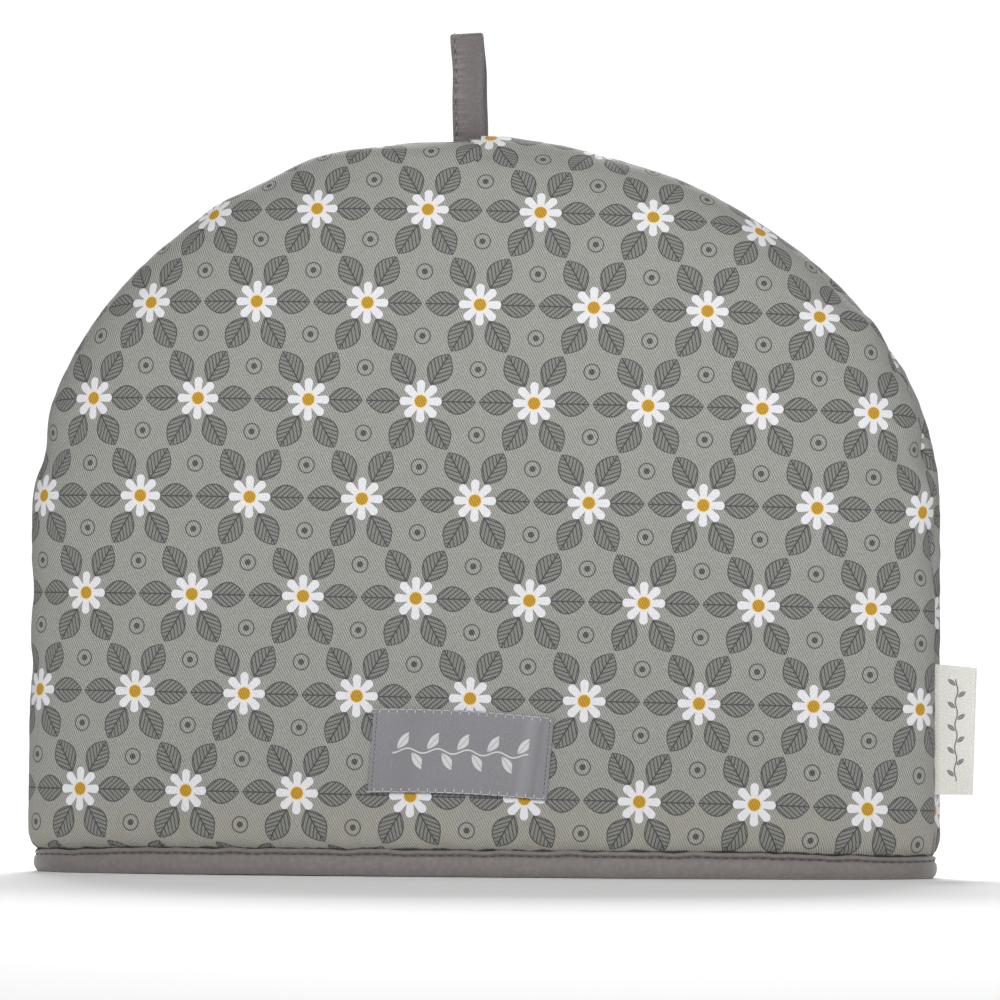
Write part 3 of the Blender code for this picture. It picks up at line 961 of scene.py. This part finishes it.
def front_face():
    """A function that gives the front face's y in millimetres at places (x, z) low on the panel."""
    rows = PanelShape(-1).outer_face()[:SIDE_ROWS]
    heights = rows[:, rows.shape[1] // 2, 2]
    across = np.linspace(-90, 90, 181)
    table = np.array([np.interp(across, row[:, 0], row[:, 1]) for row in rows])

    def face(x, z):
        r = np.interp(z, heights, np.arange(len(heights)))
        c = np.interp(x, across, np.arange(len(across)))
        r0, c0 = np.floor(r).astype(int), np.floor(c).astype(int)
        r1, c1 = np.minimum(r0 + 1, len(heights) - 1), np.minimum(c0 + 1, len(across) - 1)
        fr, fc = r - r0, c - c0
        low = table[r0, c0] * (1 - fc) + table[r0, c1] * fc
        high = table[r1, c0] * (1 - fc) + table[r1, c1] * fc
        return low * (1 - fr) + high * fr

    return face


def binding_section(s):
    """The folded strip's section, once round: distance out from mid-wall, and height."""
    lip = s["hem_wall"] / 2 + 0.35
    face = lip + 1.2
    tall = s["binding_height"]
    inner = [(lip, 1.5), (lip, 5.5), (lip, tall - 2.4), (lip, tall - 0.7)]
    ridge = [(0.12, -0.2), (0.5, 0), (0.95, -0.1), (1.3, -0.45), (1.38, -0.85), (1.2, -1.2)]
    groove = [(0.85, -1.5), (0.62, -1.75), (0.62, -1.95), (0.95, -2.25)]
    top = [(lip + out, tall + up) for out, up in ridge + groove]
    band = [
        (face + 0.2, tall - 2.7),
        (face + 0.48, tall - 3.5),
        (face + 0.62, 0.52 * tall),
        (face + 0.62, 0.40 * tall),
        (face + 0.45, 0.27 * tall),
        (face + 0.1, 0.15 * tall),
        (face - 0.6, 0.055 * tall),
        (3.0, 0.1),
        (2.2, 0.0),
    ]
    outside = inner + top + band
    return np.array(outside + [(-out, height) for out, height in reversed(outside)])


def edge_wander(run):
    """How far the binding's upper edge and its stitches wander up and down."""
    return 0.34 * pucker(run * 0.6, 0.9)


def binding_strip(s, run, angle):
    """The folded strip round the hem, with its puckered ridge, stitched groove and soft band."""
    section = binding_section(s)
    out, height = section[:, 0] + 0 * run[:, None], section[:, 1] + 0 * run[:, None]
    top = s["binding_height"]
    ridge = bell(height - top + 0.7, 0.9)
    seam = bell(height - top + TOPSTITCH_DROP, 0.7)
    band = bell(height - 5.0, 2.6)
    outside = np.sign(out) * (np.abs(out) > 3.2)
    drawn = 0.16 * pucker(run, 2.3)[:, None] * (ridge + 0.5 * band)
    scallop = 0.10 * np.sin(2 * np.pi * run / TOPSTITCH_PITCH)[:, None] * seam
    oval = hem_oval(s, angle[:, None], out + outside * (drawn + scallop))
    height = height + edge_wander(run)[:, None] * smooth((height - 6) / 3)
    points = hem_sag(np.concatenate([oval, height[..., None]], -1))
    across = section[:, 1] + 40 * (section[:, 0] < 0)
    uv = np.stack(np.broadcast_arrays(run[:, None], across), -1) * MM
    faces = grid_faces(*out.shape, wrap_rows=True, wrap_columns=True)
    tape = tape_material("hem_tape", tuple(colours().tape), "v", top - TOPSTITCH_DROP)
    made = mesh_object("cosy_hem_binding", points.reshape(-1, 3), faces, uv.reshape(-1, 2), [tape])
    clean(made)
    settle(made, "grey_tape", "hem_binding")
    return made


def binding_stitches(s, run, angle):
    """The topstitch, on both faces of the strip."""
    count = len(run)
    height = s["binding_height"] - TOPSTITCH_DROP + edge_wander(run)
    places = []
    for aside in (1, -1):
        spot = hem_oval(s, angle, np.full(count, aside * (s["hem_wall"] / 2 + 1.2)))
        places.append(hem_sag(np.concatenate([spot, height[:, None]], 1)))
    out = np.full(count, 3.6)
    ahead = hem_oval(s, angle + 0.002, out) - hem_oval(s, angle - 0.002, out)
    ahead = np.concatenate([ahead, np.zeros((count, 1))], 1)
    normal = np.stack([ahead[:, 1], -ahead[:, 0], np.zeros(count)], 1)
    places, ahead = np.concatenate(places), np.tile(ahead, (2, 1))
    outward = np.concatenate([normal, -normal])
    sewn = stitches("cosy_binding_stitches", places, ahead, outward, 2.3, 0.32, dark_thread())
    settle(sewn, "grey_tape")
    return sewn


class COSY_OT_binding(bpy.types.Operator):
    """Makes the binding strip that is folded over the hem, and its topstitch."""

    bl_idname = "cosy.binding"
    bl_label = "Binding"

    def execute(self, context):
        s = sizes_mm()
        turns = np.linspace(0, 2 * math.pi, 40001)
        length = run_along(hem_middle(s, turns))
        run = np.arange(BINDING_STEPS) / BINDING_STEPS * length[-1]
        made = binding_strip(s, run, np.interp(run, length, turns))
        run = np.arange(int(length[-1] / TOPSTITCH_PITCH)) * TOPSTITCH_PITCH
        sewn = binding_stitches(s, run, np.interp(run + 0.25 * TOPSTITCH_PITCH, length, turns))
        return {"FINISHED"}


def loop_path(s):
    """The loop's path through the middle of its tape, and the share of its height at each point."""
    seat, shoulder = s["side_height"] + s["dome_rise"], s["loop_top"] - 2.2
    closed, caught, belly = 0.95, 6.3, 3.6
    share = np.linspace(0, 1, 26)
    half_gap = closed + belly * np.sin(math.pi * (0.86 * share) ** 0.8) ** 0.9
    rise = seat + (shoulder - seat) * share
    turn = np.radians(np.linspace(0, 90, 8)[1:])
    fold = np.stack([half_gap[-1] * np.cos(turn), shoulder + 1.45 * np.sin(turn)], 1)
    half = np.concatenate([[[closed, seat - caught]], np.stack([half_gap, rise], 1), fold])
    y, z = np.concatenate([half * (-1, 1), half[::-1][1:]]).T
    up = smooth((z - seat) / (s["loop_top"] - seat))
    x = s["loop_x"] - 1.35 * up + (1 - up) * (y > 0) + 0.8 * bell(z - 304, 9.5)
    return np.stack([x, y, z], 1), up


def loop_tape(s, path, up):
    """The loop's tape: its section is a rounded rectangle. Gives the piece, its normals and its run."""
    width = np.stack([s["loop_width"] - 0.4 * np.sin(math.pi * up) + 0.35 * up, 0 * up, 0.55 * up], 1)
    wide = np.linalg.norm(width, axis=1)
    normal = np.cross(unit(width), unit(np.gradient(path, axis=0)))
    half = 0.7
    edge = np.linspace(-math.pi / 2, math.pi / 2, 5)
    flat = np.linspace(-1, 1, 13)[1:-1]
    section = [(1, half * math.cos(a), half * math.sin(a)) for a in edge]
    section += [(-f, 0, half) for f in flat]
    section += [(-1, -half * math.cos(a), half * math.sin(a)) for a in edge[::-1]]
    section += [(f, 0, -half) for f in flat]
    points, uv = [], []
    run = run_along(path)
    for k, place in enumerate(path):
        for share, beyond, lift in section:
            across = share * (wide[k] / 2 - half) + beyond
            points.append(place + width[k] / wide[k] * across + normal[k] * lift)
            uv.append((across * MM, run[k] * MM))
    rows, columns = len(path), len(section)
    faces = grid_faces(rows, columns, wrap_columns=True)
    faces.append(tuple(range(columns))[::-1])
    faces.append(tuple((rows - 1) * columns + c for c in range(columns)))
    # Painted shade: the loop's tape is the binding's tape, made darker and a little bluer.
    base = tinted(colours().tape, (0.75, 0.74, 0.79))
    tape = tape_material("loop_tape", base, "u", LOOP_SEAM - s["loop_width"] / 2)
    made = mesh_object("cosy_hanging_loop", points, faces, uv, [tape])
    clean(made)
    settle(made, "grey_tape", "hanging_loop")
    return made, normal, run


class COSY_OT_loop(bpy.types.Operator):
    """Makes the hanging loop and its edge stitch."""

    bl_idname = "cosy.loop"
    bl_label = "Hanging loop"

    def execute(self, context):
        s = sizes_mm()
        path, up = loop_path(s)
        made, normal, run = loop_tape(s, path, up)
        pale_thread = thread("pale_thread", (0.27, 0.235, 0.2))
        sewn = []
        # The pale stitches are thread; the dark dashes between them are painted shade in the needle holes.
        for name, start, length, look in (
            ("light", 7.5, 2.0, pale_thread),
            ("painted_shade", 9.45, 1.1, dark_thread()),
        ):
            wanted = np.arange(start, run[-1] - 7.5, 3.9)
            here = at_run(wanted, run, path)
            ahead = at_run(wanted + 0.5, run, path) - here
            out = at_run(wanted, run, normal)
            out = np.where((out[:, 1:2] < 0) == (here[:, 1:2] < 0), out, -out)
            places = here + out * 0.68 - np.array([s["loop_width"] / 2 - LOOP_SEAM, 0, 0])
            sewn.append(stitches("cosy_loop_" + name + "_stitches", places, ahead, out, length, 0.2, look))
            settle(sewn[-1], "grey_tape")
        s["loop_width"] * MM
        return {"FINISHED"}


class COSY_OT_patch(bpy.types.Operator):
    """Makes the satin patch and its stitches."""

    bl_idname = "cosy.patch"
    bl_label = "Patch"

    def execute(self, context):
        s = sizes_mm()
        face = front_face()
        edge_a, edge_b = s["patch_width"] / 2, s["patch_height"] / 2
        tilt = math.radians(PATCH_TILT)

        def place(a, b, lift):
            """Points at (a, b) on the patch, a little out of square, lifted off the front panel."""
            a, b = a * (1 + 0.005 * b / 15), b * (1 - 0.015 * a / 33)
            x = PATCH_MIDDLE[0] + a * math.cos(tilt) - b * math.sin(tilt) + 0.042 * b
            z = PATCH_MIDDLE[1] + a * math.sin(tilt) + b * math.cos(tilt) - 0.4 * (a / 33) - (a / 33) ** 2
            return np.stack([x, face(x, z) - lift, z], -1)

        def sewn_line(a, b):
            """1 on the stitch lines, which pull the patch down."""
            return np.maximum(bell(np.abs(b) - edge_b + 1.6, 0.9), bell(np.abs(a) - edge_a + 1.3, 0.9))

        def proud(a, b):
            """How far the patch stands off the panel: puffed between its stitches, creased at the right."""
            puff = 0.28 * (1 - sewn_line(a, b)) + 0.10 * ripple(a * 3, b * 3)
            corner = smooth((a - 25) / 9) * smooth((b + 2) / 16)
            crease = 0.22 * bell(a - 24.5 - 0.05 * b, 1.8) + 0.12 * bell(a - 29 - 0.06 * b, 1.3)
            return 0.95 + puff + 0.7 * corner + crease * smooth((b + 16) / 16)

        a, b = np.meshgrid(np.linspace(-edge_a, edge_a, 61), np.linspace(-edge_b, edge_b, 29))
        outer, inner = place(a, b, proud(a, b) + 0.45), place(a, b, 0.35)
        # Painted highlights and painted shade across the patch's folds.
        fold_shading = ((24.3, 3.4, 1.3), (28.4, 1.6, 0.85), (-20, 9, 0.92))
        satin = sprig_material(
            "patch_satin", colours().patch, (0.60, 0.60, 0.60), 50, 19, 0.42, 0.15, 0.28, fold_shading
        )
        made = shell("cosy_patch_label", outer, inner, np.stack([a, b], -1) * MM, [satin])
        clean(made, 50)
        settle(made, "patch_satin", "patch_label")

        def sew(name, spots, along, length, radius, look):
            a, b = np.array(spots).T
            half_a, half_b = along[0] / 2, along[1] / 2
            ahead = place(a + half_a, b + half_b, 0) - place(a - half_a, b - half_b, 0)
            outward = np.tile([0.0, -1.0, 0.0], (len(a), 1))
            sewn = stitches(name, place(a, b, proud(a, b) + 0.5), ahead, outward, length, radius, look)
            settle(sewn, "patch_satin")
            return sewn

        along_edge = np.arange(-edge_a + 2.2, edge_a - 1, 3.3)
        up_edge = np.arange(-edge_b + 1.2, edge_b - 0.5, 1.6)
        ticks = [(k + 0.15 * math.sin(5 * k), h) for h in (-edge_b + 1.0, edge_b - 1.0) for k in along_edge]
        rim = [(k, h) for h in (-edge_b + 0.3, edge_b - 0.3) for k in along_edge - 1.65]
        ends = [(h, k) for h in (-edge_a + 1.3, edge_a - 1.3) for k in up_edge]
        white_thread = thread("white_thread", colours().white_thread)
        sewn = [
            sew("cosy_patch_ticks", ticks, (0.1, 1), 1.4, 0.14, white_thread),
            sew("cosy_patch_rim_stitches", rim, (1, 0), 2.7, 0.12, white_thread),
            sew("cosy_patch_side_stitches", ends, (0, 1), 1.0, 0.15, dark_thread()),
        ]
        flat = (s["patch_width"] * MM, s["patch_height"] * MM)
        return {"FINISHED"}


class COSY_OT_tag(bpy.types.Operator):
    """Makes the folded side tag."""

    bl_idname = "cosy.tag"
    bl_label = "Side tag"

    def execute(self, context):
        s = sizes_mm()
        edge = s["half_width"]
        tip = edge + s["tag_reach"] - 1.2
        flat = np.concatenate([np.linspace(edge - 5, edge + 2, 5), np.linspace(edge + 2, tip, 12)[1:]])
        turn = np.radians(np.linspace(0, 90, 6)[1:])
        x = np.concatenate([flat, tip + 0.68 * np.sin(turn)])
        y = np.concatenate([np.full(len(flat), 0.7), 0.7 * np.cos(turn)])
        x, y = np.concatenate([x, x[::-1][1:]]), np.concatenate([-y, y[::-1][1:]])
        up = np.linspace(-0.5, 0.5, 33)[None, :] * s["tag_length"]
        run = run_along(np.stack([x, y], 1))
        wave = (0.045 * np.sin(up / 9.5 + 0.8) - 0.052) * np.clip(x - edge - 2, 0, None)[:, None]
        tangent = unit(np.stack([np.gradient(x), np.gradient(y)], 1))
        normal = np.stack([tangent[:, 1], -tangent[:, 0]], 1)

        def layer(lift):
            """One face of the tape, at that distance from its middle."""
            px = (x + normal[:, 0] * lift)[:, None] + 0 * up
            py = (y + normal[:, 1] * lift)[:, None] + wave
            free, high = np.clip((px - edge) / s["tag_reach"], 0, 1), up / s["tag_length"] + 0.5
            px = px - s["tag_reach"] * free * (0.10 - 0.11 * high)
            return np.stack([px, py, s["tag_z"] + up - 1.3 * free * high - 0.4 * (1 - high)], -1)

        # The sprig runs up the middle of either half of the folded tape.
        from_fold = np.abs(run - run[-1] / 2)[:, None]
        uv = np.stack(np.broadcast_arrays(up, from_fold - 7.2), -1)
        cotton = sprig_material("tag_cotton", colours().tag, (0.07, 0.07, 0.075), 38, 9.5, 0.85, 0.1, 0.5)
        made = shell("cosy_side_tag", layer(0.45), layer(-0.45), uv * MM, [cotton])
        clean(made, 50)
        settle(made, "tag_cotton", "side_tag")
        s["tag_length"] * MM
        return {"FINISHED"}


class COSY_OT_stage(bpy.types.Operator):
    """Sets the pale floor, the soft studio light and the camera."""

    bl_idname = "cosy.stage"
    bl_label = "Stage"

    def execute(self, context):
        bpy.ops.object.select_all(action="DESELECT")
        bpy.ops.mesh.primitive_plane_add(size=1.7, location=(0, -0.25, 0))
        floor = bpy.context.view_layer.objects.active
        floor.name = "floor"
        pale = bpy.data.materials.new("pale_floor")
        pale.use_nodes = True
        shader = pale.node_tree.nodes["Principled BSDF"]
        shader.inputs["Base Color"].default_value = (0.93, 0.93, 0.93, 1)
        shader.inputs["Roughness"].default_value = 0.9
        shader.inputs["Specular IOR Level"].default_value = 0.1
        floor.data.materials.append(pale)

        world = bpy.data.worlds.new("studio")
        world.use_nodes = True
        world.node_tree.nodes["Background"].inputs["Color"].default_value = (1, 1, 1, 1)
        seen = world.node_tree.nodes.new("ShaderNodeLightPath").outputs["Is Camera Ray"]
        strength = Term(world.node_tree, seen) * 0.80 + 0.28
        world.node_tree.links.new(strength.socket, world.node_tree.nodes["Background"].inputs["Strength"])
        context.scene.world = world
        context.scene.view_settings.view_transform = "Standard"

        for name, place, aim, size, spread, power in (
            ("back_softbox", (-0.12, 1.1, 1.2), (0, 0, 0), (1.0, 0.6), 180, 34),
            ("front_softbox", (0.14, -1.25, 0.55), (0.03, 0, 0.31), (0.8, 0.8), 80, 4.15),
        ):
            light = bpy.data.lights.new(name, "AREA")
            light.shape = "RECTANGLE"
            light.size, light.size_y = size
            light.spread = math.radians(spread)
            light.energy = power
            made = bpy.data.objects.new(name, light)
            made.location = place
            made.rotation_euler = (Vector(aim) - Vector(place)).to_track_quat("-Z", "Y").to_euler()
            context.scene.collection.objects.link(made)

        # The camera stands low and a little to the right, and looks slightly up at the front.
        azimuth, elevation, roll = 0.0887, -0.055, 0.006
        away, seen_width, sensor = 1.617, 0.3676, 36
        aim = middle() + Vector((0, -0.040, 0.139))
        flat = math.cos(elevation)
        ahead = Vector((-math.sin(azimuth) * flat, math.cos(azimuth) * flat, -math.sin(elevation)))
        level = Vector((math.cos(azimuth), math.sin(azimuth), 0))
        upward = level.cross(ahead)
        right = level * math.cos(roll) + upward * math.sin(roll)
        up = upward * math.cos(roll) - level * math.sin(roll)
        camera = bpy.data.objects.new("camera", bpy.data.cameras.new("camera"))
        camera.data.lens = sensor * away / seen_width
        camera.data.sensor_width = sensor
        camera.data.clip_end = 30
        place = aim - ahead * away + right * 0.00956 - up * 0.0006
        camera.matrix_world = Matrix.Translation(place) @ Matrix((right, up, -ahead)).transposed().to_4x4()
        context.scene.collection.objects.link(camera)
        context.scene.camera = camera
        return {"FINISHED"}


class COSY_PT_panel(bpy.types.Panel):
    """Sidebar panel with the sizes, the colours and the operators."""

    bl_idname = "COSY_PT_panel"
    bl_label = "Tea cosy"
    bl_space_type = "VIEW_3D"
    bl_region_type = "UI"
    bl_category = "Cosy"

    def draw(self, context):
        scene = context.scene
        for group, kind in ((scene.cosy_sizes, CosySizes), (scene.cosy_colours, CosyColours)):
            box = self.layout.box()
            for name in kind.__annotations__:
                box.prop(group, name)
        for operator in OPERATORS:
            self.layout.operator(operator.bl_idname)


OPERATORS = (COSY_OT_panels, COSY_OT_binding, COSY_OT_loop, COSY_OT_patch, COSY_OT_tag, COSY_OT_stage)
CLASSES = (CosySizes, CosyColours, *OPERATORS, COSY_PT_panel)


def register():
    for made in CLASSES:
        bpy.utils.register_class(made)
    bpy.types.Scene.cosy_sizes = PointerProperty(type=CosySizes)
    bpy.types.Scene.cosy_colours = PointerProperty(type=CosyColours)


def unregister():
    del bpy.types.Scene.cosy_sizes
    del bpy.types.Scene.cosy_colours
    for made in reversed(CLASSES):
        bpy.utils.unregister_class(made)


def main():
    register()
    bpy.ops.cosy.panels()
    bpy.ops.cosy.binding()
    bpy.ops.cosy.loop()
    bpy.ops.cosy.patch()
    bpy.ops.cosy.tag()
    bpy.ops.cosy.stage()


if __name__ == "__main__":
    main()
